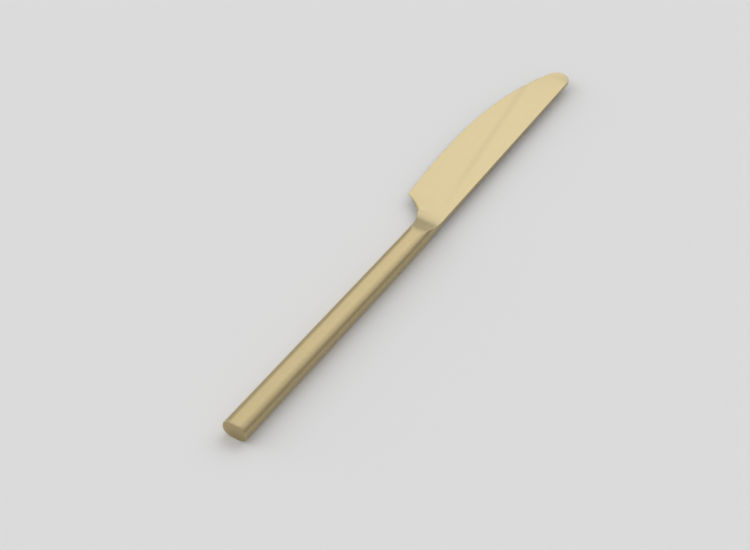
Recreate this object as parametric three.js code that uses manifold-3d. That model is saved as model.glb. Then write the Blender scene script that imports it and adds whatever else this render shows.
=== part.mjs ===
// Table knife with a hollow handle: a forged blade whose tang is bedded in cement between two pressed shells.
// Millimetres. +X runs from the butt to the tip, +Y to the cutting edge, +Z up.
// The knife lies on its side: the flat underside of the handle is the plane z = 0, and its middle is the origin.
import * as THREE from "three";
import { mergeVertices } from "three/addons/utils/BufferGeometryUtils.js";
import Module from "manifold-3d";

const wasm = await Module();
wasm.setup();

// Handle: a bar of rounded section that narrows from the butt to the neck
const HANDLE_LENGTH = 115;
const HANDLE_HEIGHT = 7;
const BUTT_WIDTH = 9.85;
const NECK_WIDTH = 9.1;
const TOP_FLAT = 2.8; // width of the flat strip on the handle's top and underside
const SIDE_FLAT = 1.2; // height of the flat strip on its two flanks
const SHELL_WALL = 0.9;

// Plug that closes the butt
const PLUG_PLATE = 1.2;
const PLUG_SPIGOT_LENGTH = 4;

// Neck: the stretch where the handle's top and underside slope down to the blade
const NECK_LENGTH = 8.9;

// Blade, seen from above
const BLADE_LENGTH = 106.1;
const SPINE_STEP = 0.4; // how far the spine starts inside the handle's side
const SPINE_TAPER = 1.97; // how far the spine closes on the handle's axis towards the tip
const HEEL_DISTANCE = 10.4; // from the neck to the heel's corner, along the knife
const HEEL_REACH = 15.75; // from the handle's axis to the heel's corner
const HEEL_ANGLE = THREE.MathUtils.degToRad(5.5); // the edge's rise where it leaves the heel
const HEEL_PULL = 53.4; // length of the edge curve's handle at the heel
const TIP_PULL = 20.4; // length of the edge curve's handle at the tip
const TIP_RADIUS = 4.7;
const TIP_ANGLE = THREE.MathUtils.degToRad(65); // where the edge curve meets the tip's round
const NOTCH_LEAD = 5; // how far before the neck's end the notch leaves the handle's side
const NOTCH_BEND = 5.1; // how far past the neck's end the notch curve bends up to the heel

// Blade, seen from its end
const SPINE_THICKNESS_NECK = 2;
const SPINE_THICKNESS_TIP = 1.15;
const EDGE_THICKNESS = 0.35;

// Spigot and tang that hold the blade in the handle
const SPIGOT_LENGTH = 6;
const TANG_LENGTH = 48;
const TANG_WIDTH = 4.4;
const TANG_THICKNESS = 2.4;
const TANG_NOTCH_COUNT = 3; // pairs of notches that key the tang into the cement
const TANG_NOTCH_LENGTH = 3;
const TANG_NOTCH_DEPTH = 0.7;

// Room between a piece and the piece that it sits in
const FIT_CLEARANCE = 0.3;
// How far two solids reach into each other where they are joined into one
const JOIN_DEPTH = 0.5;

// Facets
const CORNER_STEPS = 6;
const SIDE_STEPS = 8;
const NECK_STATIONS = 7;
const NOTCH_STATIONS = 9;
const EDGE_STATIONS = 18;
const TIP_STATIONS = 8;
const CURVE_SAMPLES = 200;

// Places along the knife and across it
const NECK_END = HANDLE_LENGTH + NECK_LENGTH;
const TIP_X = NECK_END + BLADE_LENGTH;
const HEEL_X = NECK_END + HEEL_DISTANCE;
const MID_Z = HANDLE_HEIGHT / 2; // the blade's middle plane, where the two shells meet
const SPIGOT_X = HANDLE_LENGTH - SPIGOT_LENGTH;
const TANG_X = SPIGOT_X - TANG_LENGTH;
const PLUG_SPIGOT_X = PLUG_PLATE + PLUG_SPIGOT_LENGTH;

const { lerp, mapLinear, clamp } = THREE.MathUtils;

function range(count) {
  return Array.from({ length: count }, (_, i) => i);
}

// Handle's outside width at a place along it
function handleWidth(x) {
  return mapLinear(x, 0, HANDLE_LENGTH, BUTT_WIDTH, NECK_WIDTH);
}

// Size of the rounded corners, which take up what the flat strips leave
const CORNER_HEIGHT = (HANDLE_HEIGHT - SIDE_FLAT) / 2;

function cornerWidth(x) {
  return (handleWidth(x) - TOP_FLAT) / 2;
}

// The handle's section at x, a given depth under its surface: corners from +Y +Z, against the clock
function sectionCorners(x, depth) {
  return [[1, 1], [-1, 1], [-1, -1], [1, -1]].map(([sideY, sideZ], quarter) => {
    const start = (quarter * Math.PI) / 2;
    const arc = new THREE.EllipseCurve(
      (sideY * TOP_FLAT) / 2,
      MID_Z + (sideZ * SIDE_FLAT) / 2,
      cornerWidth(x) - depth,
      CORNER_HEIGHT - depth,
      start,
      start + Math.PI / 2,
    );
    return arc.getPoints(CORNER_STEPS);
  });
}

function placeAt(x, points) {
  return points.map((p) => new THREE.Vector3(x, p.x, p.y));
}

// Solid skin over rings of points that run against the clock as seen from +X
function loft(rings) {
  const size = rings[0].length;
  const positions = rings.flat().flatMap((p) => [p.x, p.y, p.z]);
  const faces = [];
  for (const i of range(rings.length - 1)) {
    for (const k of range(size)) {
      const here = i * size + k;
      const beside = i * size + ((k + 1) % size);
      faces.push(here, beside, beside + size, here, beside + size, here + size);
    }
  }
  const endFaces = (ring) => {
    const flat = ring.map((p) => new THREE.Vector2(p.y, p.z));
    return THREE.ShapeUtils.triangulateShape(flat, []);
  };
  const last = (rings.length - 1) * size;
  for (const [a, b, c] of endFaces(rings[0])) {
    faces.push(a, c, b);
  }
  for (const [a, b, c] of endFaces(rings.at(-1))) {
    faces.push(last + a, last + b, last + c);
  }
  const geometry = new THREE.BufferGeometry();
  geometry.setAttribute("position", new THREE.Float32BufferAttribute(positions, 3));
  return geometry.setIndex(faces);
}

function box(x0, x1, width, thickness) {
  const geometry = new THREE.BoxGeometry(x1 - x0, width, thickness);
  return geometry.translate((x0 + x1) / 2, 0, MID_Z);
}

// Joining and cutting
function toSolid(geometry) {
  const bare = new THREE.BufferGeometry();
  bare.setAttribute("position", geometry.getAttribute("position"));
  bare.setIndex(geometry.getIndex());
  const merged = mergeVertices(bare);
  const mesh = new wasm.Mesh({
    numProp: 3,
    vertProperties: new Float32Array(merged.getAttribute("position").array),
    triVerts: new Uint32Array(merged.getIndex().array),
  });
  return new wasm.Manifold(mesh);
}

function toGeometry(solid) {
  const mesh = solid.getMesh();
  const geometry = new THREE.BufferGeometry();
  geometry.setAttribute("position", new THREE.BufferAttribute(mesh.vertProperties, 3));
  geometry.setIndex(new THREE.BufferAttribute(mesh.triVerts, 1));
  geometry.computeVertexNormals();
  return geometry;
}

// A bar that follows the handle's taper at a given depth under its surface
function handleBar(x0, x1, depth) {
  return loft([x0, x1].map((x) => placeAt(x, sectionCorners(x, depth).flat())));
}

// Half of the hollow handle, above or below the middle plane
function halfShell(isUpper) {
  const ring = (x) => {
    const [rightTop, leftTop, leftLow, rightLow] = sectionCorners(x, 0);
    const [innerRightTop, innerLeftTop, innerLeftLow, innerRightLow] = sectionCorners(x, SHELL_WALL);
    const side = handleWidth(x) / 2;
    const seam = (y) => new THREE.Vector2(y, MID_Z);
    const outside = isUpper ? [...rightTop, ...leftTop] : [...leftLow, ...rightLow];
    const inside = isUpper ? [...innerRightTop, ...innerLeftTop] : [...innerLeftLow, ...innerRightLow];
    const start = isUpper ? side : -side;
    const innerStart = isUpper ? side - SHELL_WALL : SHELL_WALL - side;
    return placeAt(x, [
      seam(start), ...outside, seam(-start),
      seam(-innerStart), ...inside.reverse(), seam(innerStart),
    ]);
  };
  return loft([ring(PLUG_PLATE), ring(HANDLE_LENGTH)]);
}

// End plate flush with the handle, and a spigot inside the shells
function buttPlug() {
  const plate = toSolid(handleBar(0, PLUG_PLATE, 0));
  const spigotDepth = SHELL_WALL + FIT_CLEARANCE;
  const spigot = toSolid(handleBar(PLUG_PLATE - JOIN_DEPTH, PLUG_SPIGOT_X, spigotDepth));
  return toGeometry(plate.add(spigot));
}

// Cement from the plug to the blade's spigot, with a pocket for the tang
function tangCement() {
  const fill = toSolid(handleBar(PLUG_SPIGOT_X, SPIGOT_X, SHELL_WALL + FIT_CLEARANCE));
  const pocket = box(
    TANG_X - FIT_CLEARANCE,
    SPIGOT_X + JOIN_DEPTH,
    TANG_WIDTH + 2 * FIT_CLEARANCE,
    TANG_THICKNESS + 2 * FIT_CLEARANCE,
  );
  return toGeometry(fill.subtract(toSolid(pocket)));
}

// Blade outline: the spine's straight line, the tip's round, the edge's curve and the notch's curve
const SPINE_AT_NECK = SPINE_STEP - NECK_WIDTH / 2;
const SPINE_AT_TIP = SPINE_AT_NECK + SPINE_TAPER;
const TIP_CENTRE = new THREE.Vector2(TIP_X - TIP_RADIUS, SPINE_AT_TIP + TIP_RADIUS);

function edgeCurve() {
  const heel = new THREE.Vector2(HEEL_X, HEEL_REACH);
  const heelWay = new THREE.Vector2(Math.cos(HEEL_ANGLE), Math.sin(HEEL_ANGLE));
  const outward = new THREE.Vector2(Math.cos(TIP_ANGLE), Math.sin(TIP_ANGLE));
  const meet = TIP_CENTRE.clone().addScaledVector(outward, TIP_RADIUS);
  const backwards = new THREE.Vector2(-outward.y, outward.x);
  return new THREE.CubicBezierCurve(
    heel,
    heel.clone().addScaledVector(heelWay, HEEL_PULL),
    meet.clone().addScaledVector(backwards, TIP_PULL),
    meet,
  );
}

function notchCurve() {
  const side = NECK_WIDTH / 2;
  return new THREE.QuadraticBezierCurve(
    new THREE.Vector2(NECK_END - NOTCH_LEAD, side),
    new THREE.Vector2(NECK_END + NOTCH_BEND, side),
    new THREE.Vector2(HEEL_X, HEEL_REACH),
  );
}

const EDGE_POINTS = edgeCurve().getPoints(CURVE_SAMPLES);
const NOTCH_POINTS = notchCurve().getPoints(CURVE_SAMPLES);

// Height of a curve's points over a place along the knife
function across(points, x) {
  const next = points.findIndex((p) => p.x >= x);
  if (next <= 0) return next === 0 ? points[0].y : points.at(-1).y;
  const before = points[next - 1];
  const after = points[next];
  return mapLinear(x, before.x, after.x, before.y, after.y);
}

// Half the tip's round at a place along the knife
function tipHalf(x) {
  const along = clamp((x - TIP_CENTRE.x) / TIP_RADIUS, -1, 1);
  return TIP_RADIUS * Math.sqrt(1 - along * along);
}

// The edge's line as if there were no notch
function edgeLine(x) {
  if (x > EDGE_POINTS.at(-1).x) return TIP_CENTRE.y + tipHalf(x);
  return across(EDGE_POINTS, x);
}

function edgeSide(x) {
  return x < HEEL_X ? across(NOTCH_POINTS, x) : edgeLine(x);
}

function spineSide(x) {
  if (x > TIP_CENTRE.x) return TIP_CENTRE.y - tipHalf(x);
  if (x > NECK_END) return mapLinear(x, NECK_END, TIP_CENTRE.x, SPINE_AT_NECK, SPINE_AT_TIP);
  return mapLinear(x, HANDLE_LENGTH, NECK_END, -NECK_WIDTH / 2, SPINE_AT_NECK);
}

function spineThickness(x) {
  if (x < TIP_CENTRE.x) {
    return mapLinear(x, NECK_END, TIP_CENTRE.x, SPINE_THICKNESS_NECK, SPINE_THICKNESS_TIP);
  }
  return mapLinear(x, TIP_CENTRE.x, TIP_X, SPINE_THICKNESS_TIP, EDGE_THICKNESS);
}

// The blade is a wedge: thick at the spine and thin at the edge
function wedgeThickness(x, y) {
  const spine = TIP_CENTRE.x > x ? spineSide(x) : SPINE_AT_TIP;
  const share = clamp((y - spine) / (edgeLine(x) - spine), 0, 1);
  return lerp(spineThickness(x), EDGE_THICKNESS, share);
}

// Half heights of the forging at its spine side and its edge side
function halfHeights(x) {
  const bladeX = Math.max(x, NECK_END);
  const spine = spineThickness(bladeX) / 2;
  const edge = wedgeThickness(bladeX, edgeSide(bladeX)) / 2;
  if (x >= NECK_END) return { spine, edge };
  const share = (x - HANDLE_LENGTH) / NECK_LENGTH;
  return { spine: lerp(HANDLE_HEIGHT / 2, spine, share), edge: lerp(HANDLE_HEIGHT / 2, edge, share) };
}

// How far the handle's rounded side stands in at a height over or under the middle plane
function sideInset(height) {
  const intoCorner = clamp((Math.abs(height) - SIDE_FLAT / 2) / CORNER_HEIGHT, 0, 1);
  return cornerWidth(HANDLE_LENGTH) * (1 - Math.sqrt(1 - intoCorner ** 2));
}

// Heights of one side's points, closer together towards the corners
function sideHeights(half) {
  return range(SIDE_STEPS + 1).map((k) => {
    const angle = mapLinear(k, 0, SIDE_STEPS, -Math.PI / 2, Math.PI / 2);
    return half * Math.sin(angle);
  });
}

// The forging's section: the rounded bar cut flat by the neck's slopes or by the blade's faces
function forgingRing(x) {
  const half = halfHeights(x);
  const edge = sideHeights(half.edge).map((height) => {
    return new THREE.Vector2(edgeSide(x) - sideInset(height), MID_Z + height);
  });
  const spine = sideHeights(half.spine).map((height) => {
    return new THREE.Vector2(spineSide(x) + sideInset(height), MID_Z + height);
  });
  return placeAt(x, [...edge, ...spine.reverse()]);
}

function forgingStations() {
  const between = (from, to, count) => range(count).map((i) => mapLinear(i, 0, count, from, to));
  const tip = range(TIP_STATIONS).map((i) => {
    const angle = (i / TIP_STATIONS) * (Math.PI / 2);
    return TIP_CENTRE.x + TIP_RADIUS * Math.sin(angle);
  });
  return [
    ...between(HANDLE_LENGTH, NECK_END, NECK_STATIONS),
    ...between(NECK_END, HEEL_X, NOTCH_STATIONS),
    ...between(HEEL_X, TIP_CENTRE.x, EDGE_STATIONS),
    ...tip,
  ];
}

// Blade, neck, spigot and tang in one forging
function bladeForging() {
  const blade = toSolid(loft(forgingStations().map(forgingRing)));
  const spigotDepth = SHELL_WALL + FIT_CLEARANCE;
  const spigot = toSolid(handleBar(SPIGOT_X, HANDLE_LENGTH + JOIN_DEPTH, spigotDepth));
  let tang = toSolid(box(TANG_X, SPIGOT_X + JOIN_DEPTH, TANG_WIDTH, TANG_THICKNESS));
  for (const i of range(TANG_NOTCH_COUNT)) {
    const middle = mapLinear(i + 1, 0, TANG_NOTCH_COUNT + 1, TANG_X, SPIGOT_X);
    for (const side of [-1, 1]) {
      const notch = box(
        middle - TANG_NOTCH_LENGTH / 2,
        middle + TANG_NOTCH_LENGTH / 2,
        2 * TANG_NOTCH_DEPTH,
        TANG_THICKNESS + 2 * JOIN_DEPTH,
      );
      tang = tang.subtract(toSolid(notch.translate(0, (side * TANG_WIDTH) / 2, 0)));
    }
  }
  return toGeometry(blade.add(spigot).add(tang));
}

// Finishes
const goldSteel = { color: 0xd3c08f, roughness: 0.38, metalness: 1 };
const cement = { color: 0x9a958c, roughness: 0.95, metalness: 0 };

// Each piece is modelled from the butt's face, then moved so that the origin is under the handle's middle
function piece(name, geometry, finish) {
  geometry.translate(-HANDLE_LENGTH / 2, 0, 0);
  const mesh = new THREE.Mesh(geometry, new THREE.MeshStandardMaterial(finish));
  mesh.name = name;
  return mesh;
}

const knife = new THREE.Group();
knife.name = "table_knife";
knife.add(
  piece("blade", bladeForging(), goldSteel),
  piece("handle_shell_upper", halfShell(true), goldSteel),
  piece("handle_shell_lower", halfShell(false), goldSteel),
  piece("butt_plug", buttPlug(), goldSteel),
  piece("tang_cement", tangCement(), cement),
);

export default knife;
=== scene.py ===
"""Table knife in satin champagne-gold steel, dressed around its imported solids. Metres, +Z up."""
import math

import bmesh
import bpy
from bpy.props import FloatProperty, FloatVectorProperty, PointerProperty
from mathutils import Matrix, Vector
from mathutils.geometry import interpolate_bezier


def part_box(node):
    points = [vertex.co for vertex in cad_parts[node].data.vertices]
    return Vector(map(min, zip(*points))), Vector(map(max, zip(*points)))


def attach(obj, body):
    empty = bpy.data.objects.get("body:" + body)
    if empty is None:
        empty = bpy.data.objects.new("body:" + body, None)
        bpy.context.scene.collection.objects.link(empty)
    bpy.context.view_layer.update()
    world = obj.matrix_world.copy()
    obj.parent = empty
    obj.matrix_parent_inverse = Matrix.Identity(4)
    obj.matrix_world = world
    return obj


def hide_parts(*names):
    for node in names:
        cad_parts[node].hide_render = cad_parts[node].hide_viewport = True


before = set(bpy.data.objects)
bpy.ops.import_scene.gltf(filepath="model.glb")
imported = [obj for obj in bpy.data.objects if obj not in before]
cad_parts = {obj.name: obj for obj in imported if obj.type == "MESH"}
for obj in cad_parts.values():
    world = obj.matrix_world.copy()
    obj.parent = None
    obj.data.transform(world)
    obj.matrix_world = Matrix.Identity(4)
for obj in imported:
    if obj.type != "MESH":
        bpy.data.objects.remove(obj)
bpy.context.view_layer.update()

bl_info = {
    "name": "Table knife",
    "version": (1, 0, 0),
    "blender": (4, 5, 0),
    "location": "View3D > Sidebar > Knife",
    "description": "Builds a hollow-handled table knife in satin gold steel and its studio",
    "category": "Add Mesh",
}

MM = 0.001
BLACK = (0, 0, 0, 1)
WHITE = (1, 1, 1, 1)

# Places that the solids give, along the knife and up from the table
BUTT_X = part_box("butt_plug")[0].x
PLATE_END_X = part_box("handle_shell_upper")[0].x
HANDLE_END_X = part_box("handle_shell_upper")[1].x
TANG_START_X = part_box("blade")[0].x
TIP_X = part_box("blade")[1].x
HANDLE_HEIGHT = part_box("butt_plug")[1].z
BUTT_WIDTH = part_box("butt_plug")[1].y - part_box("butt_plug")[0].y
MID_Z = HANDLE_HEIGHT / 2

# Mesh density
CORNER_STEPS = 16
HANDLE_STATIONS = 24
LEAD_STATIONS = 4
FLANK_STEPS = 14
ROUND_STEPS = 4
FACE_STEPS = 8
NECK_STATIONS = 10
NOTCH_STATIONS = 44
EDGE_STATIONS = 60
TIP_STATIONS = 16
SHARP_ANGLE = math.radians(35)
MERGE_DISTANCE = 0.001 * MM

# Limits of the roundings in the forging's sections, and the narrow strip of the face beside each
LEAST_ROUND = 0.01 * MM
WIDTH_PER_ROUND = 5
ROUND_PER_HALF_HEIGHT = 0.7
FACE_BORDER = 0.15 * MM

# A quadratic curve as a cubic one: how far its two handles lie on the way to the one bend
BEND_SHARE = 2 / 3

# Pairs of notches along the tang
TANG_NOTCHES = 3

# Cells per metre of the noise in the finishes, along, across and up
LINE_CELLS = (60, 9000, 9000)
STREAK_CELLS = (16, 150, 150)
HAZE_CELLS = (600, 600, 600)
CEMENT_CELLS = (2500, 2500, 2500)
NOISE_MEAN = 0.5

# Shares of the lines, the streaks and the haze in the metal's grain
LINE_SHARE = 0.4
STREAK_SHARE = 0.25
HAZE_SHARE = 0.35

# How much roughness the lines and the streaks add between their weakest and strongest places
LINE_ROUGHNESS = 0.06
STREAK_ROUGHNESS = 0.02

# Roughness of the cement and the floor
MATT = 0.9

# The floor lies a hair below the knife, so that no two faces share a plane
FLOOR_DROP = 0.05 * MM

# Width of the camera's sensor in millimetres
SENSOR_WIDTH = 36


def blend(first, second, factor):
    """Goes from the first value to the second one as the factor goes from 0 to 1."""
    return first + (second - first) * factor


# Kinds of settings
def length(name, description, millimetres):
    """A length that is written in millimetres and kept in metres."""
    return FloatProperty(
        name=name, description=description, default=millimetres * MM, unit="LENGTH", precision=5
    )


def angle(name, description, degrees):
    """An angle that is written in degrees and kept in radians."""
    return FloatProperty(
        name=name, description=description, default=math.radians(degrees), subtype="ANGLE"
    )


def colour(name, description, value):
    return FloatVectorProperty(
        name=name, description=description, default=value, subtype="COLOR", min=0, max=1
    )


def share(name, description, value):
    return FloatProperty(
        name=name, description=description, default=value, subtype="FACTOR", min=0, max=1
    )


def number(name, description, value):
    return FloatProperty(name=name, description=description, default=value)


# Settings
class HandleSizes(bpy.types.PropertyGroup):
    """Sizes of the hollow handle and of the plug in its butt."""
    neck_width: length("Neck width", "Handle's width where it meets the blade's neck", 9.1)
    top_flat: length("Top flat", "Width of the flat strip on top and underneath, at the butt", 2.8)
    side_flat: length("Side flat", "Height of the flat strip on the two flanks", 1.2)
    wall: length("Wall", "Thickness of the pressed shells", 0.9)
    clearance: length("Clearance", "Room around the spigots inside the shells", 0.3)
    rim_round: length("Rim round", "Rounding of the butt's rim", 0.15)
    plug_spigot: length("Plug spigot", "How far the plug reaches into the shells", 4.0)


class BladeSizes(bpy.types.PropertyGroup):
    """Sizes of the blade forging."""
    neck_length: length("Neck length", "Handle's end to the straight spine", 12.5)
    slope_lead: length("Slope lead", "How far before the handle's end the neck's slope sets in", 1.6)
    slope_start: length("Slope start", "Stretch over which the slope sets in", 4.6)
    slope_reach: length("Slope reach", "Handle's end to where the slope has run out", 16.5)
    slope_end: length("Slope end", "Stretch over which the slope runs out", 8.5)
    spine_at_neck: length("Spine at neck", "Spine's distance from the middle line at the neck", 4.1)
    spine_at_tip: length("Spine at tip", "Spine's distance from the middle line at the tip", 2.18)
    spine_bend: length("Spine bend", "Softness of the bend from the flank into the spine", 0.06)
    heel_x: length("Heel", "Handle's end to the heel's corner, along the knife", 19.3)
    heel_reach: length("Heel reach", "Middle line to the heel's corner", 15.75)
    heel_angle: angle("Heel angle", "The edge's rise where it leaves the heel", 5.5)
    heel_pull: length("Heel pull", "Length of the edge curve's handle at the heel", 53.3)
    tip_pull: length("Tip pull", "Length of the edge curve's handle at the tip", 20.4)
    tip_radius: length("Tip radius", "Radius of the rounded tip", 4.7)
    tip_angle: angle("Tip angle", "Where the edge's curve meets the tip's round", 65)
    notch_start: length("Notch start", "Handle's end to where the notch leaves the neck's side", 3.9)
    notch_bend: length("Notch bend", "Handle's end to where the notch bends up to the heel", 14.0)
    spine_thick_neck: length("Neck thickness", "Thickness of the spine at the neck", 2.0)
    spine_thick_tip: length("Tip thickness", "Thickness of the spine at the tip", 1.3)
    edge_thick: length("Edge thickness", "Thickness left at the cutting edge", 0.35)
    spine_round: length("Spine round", "Rounding of the spine's two long edges", 0.35)
    edge_round: length("Edge round", "Rounding along the cutting edge", 0.12)
    notch_round: length("Notch round", "Width of the rounding along the notch, across the knife", 2.0)
    notch_depth: share("Notch depth", "Depth of that rounding, as a share of half the thickness", 0.8)
    notch_lead: length("Notch lead", "Stretch over which that rounding sets in and runs out", 1.5)
    spigot: length("Spigot", "How far the forging's spigot reaches into the shells", 6.0)
    tang_width: length("Tang width", "Width of the tang in the cement", 4.4)
    tang_thick: length("Tang thickness", "Thickness of the tang", 2.4)
    tang_notch: length("Tang notch", "Length of each notch that keys the tang", 3.0)
    tang_notch_slant: length("Tang notch slant", "Length of the slant at each end of a notch", 0.5)
    tang_notch_depth: length("Tang notch depth", "Depth of each notch", 0.7)


class Finishes(bpy.types.PropertyGroup):
    """Colours and surface of the metal and of the cement."""
    handle_gold: colour("Handle gold", "Colour of the coated handle", (0.514, 0.419, 0.234))
    blade_gold: colour("Blade gold", "Colour of the coated blade", (0.504, 0.419, 0.241))
    handle_grain: share("Handle grain", "How far the grain darkens and lightens the handle", 0.15)
    blade_grain: share("Blade grain", "How far the grain darkens and lightens the blade", 0.08)
    handle_roughness: share("Handle roughness", "Roughness of the satin handle", 0.44)
    blade_roughness: share("Blade roughness", "Roughness of the finer satin on the blade", 0.34)
    satin_turn: length("Satin turn", "Handle's end to where the satin is as fine as the blade's", 4.0)
    # These five settings place a painted reflection: a faint darker band put into the blade's colour
    # where the reflected light falls darker. It is not a polishing mark.
    painted_reflection: share("Streak", "How much darker the faint polishing streak on the blade is", 0.07)
    painted_reflection_width: length("Streak width", "Half the width of the streak", 1.3)
    painted_reflection_start: length("Streak start", "Handle's end to where the streak leaves the middle line", 18.4)
    painted_reflection_rise: length("Streak rise", "Stretch over which the streak sets in", 25.0)
    painted_reflection_angle: angle("Streak angle", "The streak's turn from the middle line to the edge", 8.0)
    cement: colour("Cement", "Colour of the cement inside the handle", (0.33, 0.31, 0.28))


class Studio(bpy.types.PropertyGroup):
    """Camera, floor and light."""
    distance: length("Distance", "Camera to the point that it looks at", 800)
    azimuth: angle("Azimuth", "Camera's turn from the knife's cutting side", 56.522)
    elevation: angle("Elevation", "Camera's height over the table", 44.55)
    lens: number("Lens", "Focal length in millimetres", 102.49)
    aim: FloatVectorProperty(
        name="Aim", description="Point in the middle of the picture", unit="LENGTH",
        default=(41.16 * MM, 7.39 * MM, -6.23 * MM),
    )
    floor: colour("Floor", "Colour of the pale floor", (0.95, 0.95, 0.95))
    floor_size: length("Floor size", "Side of the floor", 6000)
    ambient: number("Ambient", "Even light of the studio's walls", 0.3)
    front_light: number("Front light", "Wide light over the camera", 0.3)
    butt_light: number("Butt light", "Wide light beyond the butt, on the cutting edge's side", 0.45)
    back_light: number("Back light", "Soft light above, across the table from the camera", 1.75)
    tip_light: number("Tip light", "Soft light above the tip, on the spine's side", 1.55)
    edge_light: number("Edge light", "Low soft light on the cutting edge's side", 1.7)


# Shader nodes
class Value:
    """An output of a shader node. Python's operators on it add Math nodes."""

    def __init__(self, tree, socket):
        self.tree = tree
        self.socket = socket

    def math(self, operation, *values):
        return self.tree.add("ShaderNodeMath", {"operation": operation}, dict(enumerate(values)))

    def __add__(self, other):
        return self.math("ADD", self, other)

    def __sub__(self, other):
        return self.math("SUBTRACT", self, other)

    def __rsub__(self, other):
        return self.math("SUBTRACT", other, self)

    def __mul__(self, other):
        return self.math("MULTIPLY", self, other)

    def __truediv__(self, other):
        return self.math("DIVIDE", self, other)

    def __pow__(self, other):
        return self.math("POWER", self, other)

    __radd__ = __add__
    __rmul__ = __mul__


class Tree:
    """A node tree that is filled one node at a time."""

    def __init__(self, owner):
        owner.use_nodes = True
        self.nodes = owner.node_tree.nodes
        self.links = owner.node_tree.links
        self.nodes.clear()

    def add(self, kind, settings=None, inputs=None, output=0):
        """Adds a node: first its settings, then the values or links of its sockets."""
        node = self.nodes.new(kind)
        for name, value in (settings or {}).items():
            setattr(node, name, value)
        for name, value in (inputs or {}).items():
            if isinstance(value, Value):
                self.links.new(value.socket, node.inputs[name])
            else:
                node.inputs[name].default_value = value
        return Value(self, node.outputs[output]) if node.outputs else node

    def mix(self, factor, first, second):
        """Blend of two colours. Sockets 6 and 7 and output 2 are the ones for colours."""
        inputs = {0: factor, 6: first, 7: second}
        return self.add("ShaderNodeMix", {"data_type": "RGBA"}, inputs, output=2)

    def shade(self, factor, base, dark, light):
        """A colour that goes from a darker to a lighter tone of itself."""
        tones = [(*(level * c for c in base), 1) for level in (dark, light)]
        return self.mix(factor, *tones)

    def ramp(self, value, low, high):
        """Rise from 0 to 1 between two values."""
        return self.add("ShaderNodeMapRange", inputs={"Value": value, "From Min": low, "From Max": high})

    def fade(self, distance):
        """Soft hump: 1 at no distance and fading to both sides."""
        return distance.math("EXPONENT", -1 * (distance * distance))

    def noise(self, place, cells, detail):
        """Noise from 0 to 1 with a number of cells per metre along, across and up."""
        spread = self.add("ShaderNodeMapping", inputs={"Vector": place, "Scale": cells})
        inputs = {"Vector": spread, "Scale": 1.0, "Detail": detail}
        return self.add("ShaderNodeTexNoise", inputs=inputs)

    def bump(self, height, strength, depth):
        """Small relief for a shader's normal, with its depth in metres."""
        inputs = {"Height": height, "Strength": strength, "Distance": depth}
        return self.add("ShaderNodeBump", inputs=inputs)

    def surface(self, inputs):
        """Ends a material's tree in one shader."""
        shader = self.add("ShaderNodeBsdfPrincipled", inputs=inputs)
        self.add("ShaderNodeOutputMaterial", inputs={"Surface": shader})


# Finishes
def satin_gold(name, has_blade):
    """Coated steel with fine lines along the knife, soft, long streaks and a faint, uneven haze.

    On the forging, the handle's satin turns into the blade's finer one along the neck's slope, and a
    faint darker band of painted reflection crosses the blade's face.
    """
    finishes = bpy.context.scene.knife_finishes
    material = bpy.data.materials.new(name)
    tree = Tree(material)
    place = tree.add("ShaderNodeTexCoord", output="Object")
    lines = tree.noise(place, LINE_CELLS, detail=3.0)
    streaks = tree.noise(place, STREAK_CELLS, detail=1.0)
    haze = tree.noise(place, HAZE_CELLS, detail=2.0)
    grain = LINE_SHARE * lines + STREAK_SHARE * streaks + HAZE_SHARE * haze
    contrast = finishes.handle_grain
    tone = tree.shade(grain, finishes.handle_gold, 1 - contrast, 1 + contrast)
    roughness = finishes.handle_roughness
    if has_blade:
        along = tree.add("ShaderNodeSeparateXYZ", inputs={"Vector": place}, output="X")
        across = tree.add("ShaderNodeSeparateXYZ", inputs={"Vector": place}, output="Y")
        fineness = tree.ramp(along, HANDLE_END_X, HANDLE_END_X + finishes.satin_turn)
        roughness = blend(roughness, finishes.blade_roughness, fineness)
        contrast = finishes.blade_grain
        blade_tone = tree.shade(grain, finishes.blade_gold, 1 - contrast, 1 + contrast)
        tone = tree.mix(fineness, tone, blade_tone)
        # Painted reflection: along a soft diagonal band, the blade's colour is darkened towards black to
        # stand in for a darker stretch of reflected light.
        start = HANDLE_END_X + finishes.painted_reflection_start
        distance = across - math.tan(finishes.painted_reflection_angle) * (along - start)
        near = tree.fade(distance / finishes.painted_reflection_width)
        risen = tree.ramp(along, start, start + finishes.painted_reflection_rise)
        tone = tree.mix(finishes.painted_reflection * (near * risen), tone, BLACK)
    rougher_lines = LINE_ROUGHNESS * (lines - NOISE_MEAN)
    rougher_streaks = STREAK_ROUGHNESS * (streaks - NOISE_MEAN)
    tree.surface({
        "Base Color": tone,
        "Metallic": 1.0,
        "Roughness": roughness + rougher_lines + rougher_streaks,
        "Normal": tree.bump(lines, strength=0.06, depth=0.02 * MM),
    })
    return material


def handle_gold():
    return bpy.data.materials.get("handle_gold") or satin_gold("handle_gold", has_blade=False)


def blade_gold():
    return bpy.data.materials.get("blade_gold") or satin_gold("blade_gold", has_blade=True)


def dull_cement():
    """Grey filler with grains and pores."""
    finishes = bpy.context.scene.knife_finishes
    material = bpy.data.materials.new("dull_cement")
    tree = Tree(material)
    place = tree.add("ShaderNodeTexCoord", output="Object")
    grains = tree.noise(place, CEMENT_CELLS, detail=4.0)
    tree.surface({
        "Base Color": tree.shade(grains, finishes.cement, dark=0.7, light=1.2),
        "Roughness": MATT,
        "Normal": tree.bump(grains, strength=0.4, depth=0.1 * MM),
    })
    return material


def pale_floor():
    material = bpy.data.materials.new("pale_floor")
    tree = Tree(material)
    floor = bpy.context.scene.knife_studio.floor
    tree.surface({"Base Color": (*floor, 1), "Roughness": MATT, "Specular IOR Level": 0.0})
    return material


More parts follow.
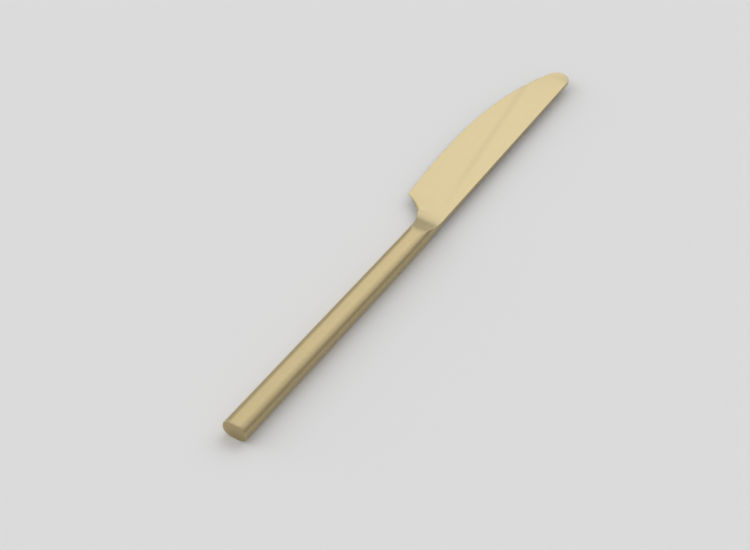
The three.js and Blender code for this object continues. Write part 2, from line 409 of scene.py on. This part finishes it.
# Finished pieces
def finish_piece(bm, name, node, material):
    """Turns a bmesh into a smooth piece that stands for a node of the solids."""
    mesh = bpy.data.meshes.new(name)
    bmesh.ops.recalc_face_normals(bm, faces=bm.faces)
    for face in bm.faces:
        face.smooth = True
    bm.to_mesh(mesh)
    bm.free()
    mesh.set_sharp_from_angle(angle=SHARP_ANGLE)
    mesh.materials.append(material)
    piece = bpy.data.objects.new(name, mesh)
    bpy.context.scene.collection.objects.link(piece)
    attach(piece, "root")
    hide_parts(node)


# Lines of the handle and the neck
def edge_flank(x):
    """Middle line to the handle's flank on the side of the cutting edge."""
    neck_half = bpy.context.scene.knife_handle.neck_width / 2
    return blend(BUTT_WIDTH / 2, neck_half, (x - BUTT_X) / (HANDLE_END_X - BUTT_X))


def spine_flank(x):
    """Middle line to the other flank, which bends softly into the straight line of the spine."""
    blade = bpy.context.scene.knife_blade
    start = HANDLE_END_X + blade.neck_length
    end = TIP_X - blade.tip_radius
    spine = blend(blade.spine_at_neck, blade.spine_at_tip, (x - start) / (end - start))
    taper = edge_flank(x)
    return (taper + spine - math.hypot(taper - spine, blade.spine_bend)) / 2


def soft_ramp(distance, full, start, end):
    """Rise from 0 to 1: along a parabola, then straight, and out along a cubic curve."""
    steepness = 1 / (full - start / 2 - 2 / 3 * end)
    if distance <= 0:
        return 0.0
    if distance < start:
        return steepness * distance ** 2 / (2 * start)
    if distance < full - end:
        return steepness * (distance - start / 2)
    return 1 - steepness * max(0.0, full - distance) ** 3 / (3 * end ** 2)


def slope(x):
    """How far the slope has come down from the handle's height to the blade's, from 0 to 1."""
    blade = bpy.context.scene.knife_blade
    distance = x - HANDLE_END_X + blade.slope_lead
    full = blade.slope_reach + blade.slope_lead
    return soft_ramp(distance, full, blade.slope_start, blade.slope_end)


# Handle
def handle_ring(bm, x):
    """A ring of the handle's rounded section: a circle that is pulled out to its flat strips."""
    sizes = bpy.context.scene.knife_handle
    ring = bmesh.ops.create_circle(bm, segments=4 * CORNER_STEPS, radius=1)["verts"]
    half_step = math.pi / (4 * CORNER_STEPS)
    to_section = Matrix.Rotation(math.pi / 2, 4, "Y") @ Matrix.Rotation(half_step, 4, "Z")
    bmesh.ops.transform(bm, verts=ring, matrix=to_section)
    reach = 2 * math.cos(half_step)
    corner_width = (BUTT_WIDTH - sizes.top_flat) / reach
    corner_height = (HANDLE_HEIGHT - sizes.side_flat) / reach
    bmesh.ops.scale(bm, verts=ring, vec=(0, corner_width, corner_height))
    for axis, flat in ((1, sizes.top_flat), (2, sizes.side_flat)):
        for side in (-1, 1):
            step = Vector((0, 0, 0))
            step[axis] = side * flat / 2
            outer = [v for v in ring if v.co[axis] * side > 0]
            bmesh.ops.translate(bm, verts=outer, vec=step)
    bmesh.ops.translate(bm, verts=ring, vec=(x, 0, MID_Z))
    return ring


def narrow(verts):
    """Narrows the section of some vertices to the two flanks and cuts it off at the slope."""
    thickness = bpy.context.scene.knife_blade.spine_thick_neck
    for vert in verts:
        flank = edge_flank(vert.co.x) if vert.co.y > 0 else spine_flank(vert.co.x)
        vert.co.y *= flank / (BUTT_WIDTH / 2)
        limit = blend(HANDLE_HEIGHT, thickness, slope(vert.co.x)) / 2
        vert.co.z = MID_Z + max(-limit, min(limit, vert.co.z - MID_Z))


def ring_edges(verts):
    """Edges that join some vertices to each other, in the same order each run."""
    chosen = set(verts)
    edges = dict.fromkeys(e for v in verts for e in v.link_edges)
    return [e for e in edges if set(e.verts) <= chosen]


def pull_out(bm, edges, distance):
    """Extrudes a ring of edges along the knife and returns the new ring's vertices."""
    made = bmesh.ops.extrude_edge_only(bm, edges=edges)["geom"]
    verts = [g for g in made if isinstance(g, bmesh.types.BMVert)]
    bmesh.ops.translate(bm, verts=verts, vec=(distance, 0, 0))
    return verts


def add_spigot(bm, end, reach):
    """Pulls a spigot out of an end face, along the knife and clear of the shells' walls."""
    handle = bpy.context.scene.knife_handle
    inset = handle.wall + handle.clearance
    bmesh.ops.inset_region(bm, faces=end, thickness=inset, use_even_offset=True)
    spigot = bmesh.ops.extrude_discrete_faces(bm, faces=end)["faces"]
    verts = {v for f in spigot for v in f.verts}
    bmesh.ops.translate(bm, verts=list(verts), vec=(reach, 0, 0))


class KNIFE_OT_handle_shells(bpy.types.Operator):
    """Build the two pressed halves of the hollow handle"""
    bl_idname = "knife.handle_shells"
    bl_label = "Handle shells"

    def execute(self, context):
        self.half_shell("handle_upper", "handle_shell_upper", is_upper=True)
        self.half_shell("handle_lower", "handle_shell_lower", is_upper=False)
        return {"FINISHED"}

    def half_shell(self, name, node, is_upper):
        """Half of the handle's tube, with its wall on the inside."""
        bm = bmesh.new()
        lead = bpy.context.scene.knife_blade.slope_lead
        station = (HANDLE_END_X - lead - PLATE_END_X) / HANDLE_STATIONS
        ring = handle_ring(bm, PLATE_END_X)
        for step in [station] * HANDLE_STATIONS + [lead / LEAD_STATIONS] * LEAD_STATIONS:
            ring = pull_out(bm, ring_edges(ring), step)
        narrow(bm.verts)
        bmesh.ops.bisect_plane(
            bm, geom=bm.verts[:] + bm.edges[:] + bm.faces[:], dist=MERGE_DISTANCE,
            plane_co=(0, 0, MID_Z), plane_no=(0, 0, 1), clear_inner=is_upper, clear_outer=not is_upper,
        )
        bmesh.ops.recalc_face_normals(bm, faces=bm.faces)
        middle = Vector((0, 0, MID_Z))
        top = max(bm.faces, key=lambda f: abs(f.calc_center_median().z - MID_Z))
        if top.normal.dot(top.calc_center_median() - middle) < 0:
            bmesh.ops.reverse_faces(bm, faces=bm.faces)
        wall = bpy.context.scene.knife_handle.wall
        bmesh.ops.solidify(bm, geom=bm.faces[:], thickness=wall)
        finish_piece(bm, name, node, handle_gold())


class KNIFE_OT_butt_plug(bpy.types.Operator):
    """Build the plug that closes the butt"""
    bl_idname = "knife.butt_plug"
    bl_label = "Butt plug"

    def execute(self, context):
        sizes = context.scene.knife_handle
        bm = bmesh.new()
        front = handle_ring(bm, BUTT_X)
        rim = ring_edges(front)
        back = pull_out(bm, rim, PLATE_END_X - BUTT_X)
        narrow(bm.verts)
        bmesh.ops.contextual_create(bm, geom=front)
        inner = bmesh.ops.contextual_create(bm, geom=back)["faces"]
        add_spigot(bm, inner, sizes.plug_spigot)
        bmesh.ops.bevel(
            bm, geom=rim, offset=sizes.rim_round, affect="EDGES", segments=ROUND_STEPS,
            profile=0.5, material=-1,
        )
        finish_piece(bm, "butt_cap", "butt_plug", handle_gold())
        return {"FINISHED"}


# Blade forging
class BladeShape:
    """Outline and sections of the forging, from its neck to its tip."""

    def __init__(self, blade, handle):
        self.blade = blade
        self.handle_side = handle.neck_width / 2
        flat = handle.top_flat * handle.neck_width / BUTT_WIDTH
        self.edge_corner = (handle.neck_width - flat) / 2
        self.spine_corner = self.edge_corner * spine_flank(HANDLE_END_X) / self.handle_side
        self.side_flat = handle.side_flat
        self.corner_height = (HANDLE_HEIGHT - handle.side_flat) / 2
        self.tip_centre = Vector((TIP_X - blade.tip_radius, blade.tip_radius - blade.spine_at_tip))
        self.heel = Vector((HANDLE_END_X + blade.heel_x, blade.heel_reach))
        self.neck_end = HANDLE_END_X + blade.neck_length

    def outline(self):
        """Stations along the knife, each with the place of the edge side across it."""
        blade = self.blade
        step = blade.notch_start / NECK_STATIONS
        neck = [Vector((HANDLE_END_X + i * step, self.handle_side)) for i in range(NECK_STATIONS)]
        notch_start = Vector((HANDLE_END_X + blade.notch_start, self.handle_side))
        bend = Vector((HANDLE_END_X + blade.notch_bend, self.handle_side))
        notch = interpolate_bezier(
            notch_start, notch_start.lerp(bend, BEND_SHARE),
            self.heel.lerp(bend, BEND_SHARE), self.heel, NOTCH_STATIONS,
        )
        out = Vector((math.cos(blade.tip_angle), math.sin(blade.tip_angle)))
        meet = self.tip_centre + blade.tip_radius * out
        leave = Vector((math.cos(blade.heel_angle), math.sin(blade.heel_angle)))
        back = Vector((-out.y, out.x))
        edge = interpolate_bezier(
            self.heel, self.heel + blade.heel_pull * leave,
            meet + blade.tip_pull * back, meet, EDGE_STATIONS,
        )
        tip = []
        for i in range(1, TIP_STATIONS):
            turn = blade.tip_angle * (1 - i / TIP_STATIONS)
            tip.append(self.tip_centre + blade.tip_radius * Vector((math.cos(turn), math.sin(turn))))
        return neck + notch + edge[1:] + tip

    def spine_side(self, x):
        """Place of the spine side across the knife: its straight line, then the tip's round."""
        if x < self.tip_centre.x:
            return -spine_flank(x)
        radius = self.blade.tip_radius
        along = min(x - self.tip_centre.x, radius)
        return self.tip_centre.y - math.sqrt(radius ** 2 - along ** 2)

    def half_heights(self, station):
        """Half the forging's thickness at its spine side and its edge side."""
        blade = self.blade
        x = station.x
        if x < self.tip_centre.x:
            along = max(0.0, (x - self.neck_end) / (self.tip_centre.x - self.neck_end))
            spine = blend(blade.spine_thick_neck, blade.spine_thick_tip, along)
            spine_y = self.spine_side(x)
        else:
            along = (x - self.tip_centre.x) / blade.tip_radius
            spine = blend(blade.spine_thick_tip, blade.edge_thick, along)
            spine_y = -blade.spine_at_tip
        full = (self.heel.y if x < self.heel.x else station.y) - spine_y
        edge = blend(spine, blade.edge_thick, min(1.0, (station.y - spine_y) / full))
        return blend(HANDLE_HEIGHT, spine, slope(x)) / 2, blend(HANDLE_HEIGHT, edge, slope(x)) / 2

    def inset(self, height):
        """How far in the handle's rounded side is at a height, as a share of its corner."""
        into = min(1.0, max(0.0, (height - self.side_flat / 2) / self.corner_height))
        return 1 - math.sqrt(1 - into ** 2)

    def side(self, place, corner_width, half, width, depth):
        """One side of a section: up the flank and round its upper edge. Points are (across, up)."""
        flank_top = half - depth
        points = []
        for k in range(FLANK_STEPS + 1):
            height = flank_top * math.sin(k / FLANK_STEPS * math.pi / 2)
            points.append(Vector((place + corner_width * self.inset(height), height)))
        start = points[-1]
        corner = Vector((place + corner_width * self.inset(half), half))
        end = corner + Vector((math.copysign(width, corner_width), 0))
        for k in range(1, ROUND_STEPS + 1):
            t = k / ROUND_STEPS
            points.append(start.lerp(corner, t).lerp(corner.lerp(end, t), t))
        return points

    def face(self, start, end):
        """Points across the upper face, with a narrow strip at both sides where there is room."""
        border = FACE_BORDER / (end - start).length
        shares = [border] + [k / FACE_STEPS for k in range(1, FACE_STEPS)] + [1 - border]
        if shares[0] > shares[1]:
            shares = [k / (FACE_STEPS + 2) for k in range(1, FACE_STEPS + 2)]
        return [start.lerp(end, s) for s in shares]

    def section(self, station):
        """Upper half of a section, from the spine's middle over the face to the edge's middle."""
        blade = self.blade
        spine_y = self.spine_side(station.x)
        spine_half, edge_half = self.half_heights(station)
        room = (station.y - spine_y) / WIDTH_PER_ROUND
        down = slope(station.x)
        spine_round = blend(LEAST_ROUND, blade.spine_round, down ** 3)
        spine_round = min(spine_round, room, ROUND_PER_HALF_HEIGHT * spine_half)
        edge_round = blend(LEAST_ROUND, blade.edge_round, down)
        edge_round = min(edge_round, room, ROUND_PER_HALF_HEIGHT * edge_half)
        from_end = min(station.x - self.neck_end, self.heel.x - station.x)
        notch = max(0.0, min(1.0, from_end / blade.notch_lead))
        edge_width = blend(edge_round, blade.notch_round, notch)
        edge_depth = blend(edge_round, blade.notch_depth * edge_half, notch)
        spine = self.side(spine_y, self.spine_corner, spine_half, spine_round, spine_round)
        edge = self.side(station.y, -self.edge_corner, edge_half, edge_width, edge_depth)
        return spine + self.face(spine[-1], edge[-1]) + edge[::-1]


class KNIFE_OT_blade(bpy.types.Operator):
    """Build the forging: blade, neck, spigot and tang"""
    bl_idname = "knife.blade"
    bl_label = "Blade forging"

    def execute(self, context):
        blade = context.scene.knife_blade
        bm = bmesh.new()
        self.upper_half(bm, BladeShape(blade, context.scene.knife_handle))
        bmesh.ops.mirror(
            bm, geom=bm.verts[:] + bm.edges[:] + bm.faces[:],
            matrix=Matrix.Translation((0, 0, -MID_Z)), axis="Z", merge_dist=0,
        )
        bmesh.ops.remove_doubles(bm, verts=bm.verts, dist=MERGE_DISTANCE)
        open_edges = [e for e in bm.edges if e.is_boundary]
        ends = bmesh.ops.holes_fill(bm, edges=open_edges, sides=0)["faces"]
        back = min(ends, key=lambda f: f.calc_center_median().x)
        bmesh.ops.recalc_face_normals(bm, faces=bm.faces)
        add_spigot(bm, [back], -blade.spigot)
        self.tang(bm, blade)
        finish_piece(bm, "blade_forging", "blade", blade_gold())
        return {"FINISHED"}

    def upper_half(self, bm, shape):
        """Lays a grid over the sections. The grid starts out from -1 to 1 both ways."""
        stations = shape.outline()
        sections = [shape.section(s) for s in stations]
        rows = len(stations) - 1
        columns = len(sections[0]) - 1
        bmesh.ops.create_grid(bm, x_segments=rows, y_segments=columns, size=1)
        for vert in bm.verts:
            row = round((vert.co.x + 1) / 2 * rows)
            point = sections[row][round((vert.co.y + 1) / 2 * columns)]
            vert.co = Vector((stations[row].x, point.x, MID_Z + point.y))

    def tang(self, bm, blade):
        """Flat tang behind the spigot, with pairs of notches that key it into the cement."""
        end = HANDLE_END_X - blade.spigot
        full = end - TANG_START_X
        made = bmesh.ops.create_cube(bm, size=1)["verts"]
        bmesh.ops.scale(bm, verts=made, vec=(full, blade.tang_width, blade.tang_thick))
        bmesh.ops.translate(bm, verts=made, vec=((end + TANG_START_X) / 2, 0, MID_Z))
        half = blade.tang_notch / 2
        floor_half = half - blade.tang_notch_slant
        narrow_to = 1 - 2 * blade.tang_notch_depth / blade.tang_width
        for i in range(1, TANG_NOTCHES + 1):
            middle = TANG_START_X + full * i / (TANG_NOTCHES + 1)
            for offset in (-half, -floor_half, floor_half, half):
                geom = dict.fromkeys(g for v in made for g in (v, *v.link_edges, *v.link_faces))
                cut = bmesh.ops.bisect_plane(
                    bm, geom=list(geom), plane_co=(middle + offset, 0, 0), plane_no=(1, 0, 0)
                )["geom_cut"]
                fresh = [g for g in cut if isinstance(g, bmesh.types.BMVert)]
                made = made + fresh
                if abs(offset) < half:
                    bmesh.ops.scale(bm, verts=fresh, vec=(1, narrow_to, 1))


class KNIFE_OT_tang_cement(bpy.types.Operator):
    """Give the cement inside the handle its finish"""
    bl_idname = "knife.tang_cement"
    bl_label = "Tang cement"

    def execute(self, context):
        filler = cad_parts["tang_cement"]
        filler.data.materials.clear()
        filler.data.materials.append(dull_cement())
        return {"FINISHED"}


# Stage
class KNIFE_OT_stage(bpy.types.Operator):
    """Set the floor, the light and the camera"""
    bl_idname = "knife.stage"
    bl_label = "Stage"

    def execute(self, context):
        studio = context.scene.knife_studio
        self.floor(context, studio)
        self.light(context, studio)
        self.camera(context, studio)
        context.scene.view_settings.view_transform = "Standard"
        return {"FINISHED"}

    def floor(self, context, studio):
        bm = bmesh.new()
        bmesh.ops.create_grid(bm, x_segments=1, y_segments=1, size=studio.floor_size / 2)
        bmesh.ops.translate(bm, verts=bm.verts, vec=(0, 0, -FLOOR_DROP))
        mesh = bpy.data.meshes.new("floor")
        bm.to_mesh(mesh)
        bm.free()
        mesh.materials.append(pale_floor())
        floor = bpy.data.objects.new("floor", mesh)
        context.scene.collection.objects.link(floor)

    def light(self, context, studio):
        """Soft lights all round, brightest on the far side, so that the near flank is in shade.

        Each light has the direction that it comes from, its strength and how narrow it is.
        """
        lights = (
            ((-0.58, -0.58, 0.57), studio.front_light, 6),
            ((-0.58, 0.58, 0.57), studio.butt_light, 6),
            ((0.63, 0.34, 0.70), studio.back_light, 15),
            ((0.76, -0.25, 0.60), studio.tip_light, 18),
            ((-0.13, 0.91, 0.40), studio.edge_light, 12),
        )
        world = bpy.data.worlds.new("studio")
        context.scene.world = world
        tree = Tree(world)
        way = tree.add("ShaderNodeTexCoord", output="Generated")
        total = studio.ambient
        for direction, strength, narrowness in lights:
            facing = tree.add(
                "ShaderNodeVectorMath", {"operation": "DOT_PRODUCT"},
                {0: way, 1: Vector(direction).normalized()}, output="Value",
            )
            total = total + strength * facing.math("MAXIMUM", facing, 0.0) ** narrowness
        sky = tree.add("ShaderNodeBackground", inputs={"Color": WHITE, "Strength": total})
        tree.add("ShaderNodeOutputWorld", inputs={"Surface": sky})

    def camera(self, context, studio):
        turn = studio.azimuth
        rise = studio.elevation
        forward = Vector((
            math.sin(turn) * math.cos(rise), math.cos(turn) * math.cos(rise), -math.sin(rise)
        ))
        data = bpy.data.cameras.new("camera")
        data.lens = studio.lens
        data.sensor_width = SENSOR_WIDTH
        camera = bpy.data.objects.new("camera", data)
        camera.location = Vector(studio.aim) - studio.distance * forward
        camera.rotation_euler = forward.to_track_quat("-Z", "Y").to_euler()
        context.scene.collection.objects.link(camera)
        context.scene.camera = camera


# Sidebar and registration
GROUPS = {
    "knife_handle": HandleSizes,
    "knife_blade": BladeSizes,
    "knife_finishes": Finishes,
    "knife_studio": Studio,
}

OPERATORS = (
    KNIFE_OT_handle_shells,
    KNIFE_OT_butt_plug,
    KNIFE_OT_blade,
    KNIFE_OT_tang_cement,
    KNIFE_OT_stage,
)


class KNIFE_PT_panel(bpy.types.Panel):
    """Buttons and settings in the sidebar"""
    bl_idname = "KNIFE_PT_panel"
    bl_label = "Table knife"
    bl_space_type = "VIEW_3D"
    bl_region_type = "UI"
    bl_category = "Knife"

    def draw(self, context):
        for operator in OPERATORS:
            self.layout.operator(operator.bl_idname)
        for group in GROUPS:
            settings = getattr(context.scene, group)
            for name in settings.bl_rna.properties.keys():
                if name not in ("rna_type", "name"):
                    self.layout.prop(settings, name)


def register():
    for name, group in GROUPS.items():
        bpy.utils.register_class(group)
        setattr(bpy.types.Scene, name, PointerProperty(type=group))
    for operator in OPERATORS:
        bpy.utils.register_class(operator)
    bpy.utils.register_class(KNIFE_PT_panel)


def unregister():
    bpy.utils.unregister_class(KNIFE_PT_panel)
    for operator in reversed(OPERATORS):
        bpy.utils.unregister_class(operator)
    for name, group in GROUPS.items():
        delattr(bpy.types.Scene, name)
        bpy.utils.unregister_class(group)


def main():
    """Builds the knife and its studio."""
    register()
    bpy.ops.knife.handle_shells()
    bpy.ops.knife.butt_plug()
    bpy.ops.knife.blade()
    bpy.ops.knife.tang_cement()
    bpy.ops.knife.stage()


if __name__ == "__main__":
    main()
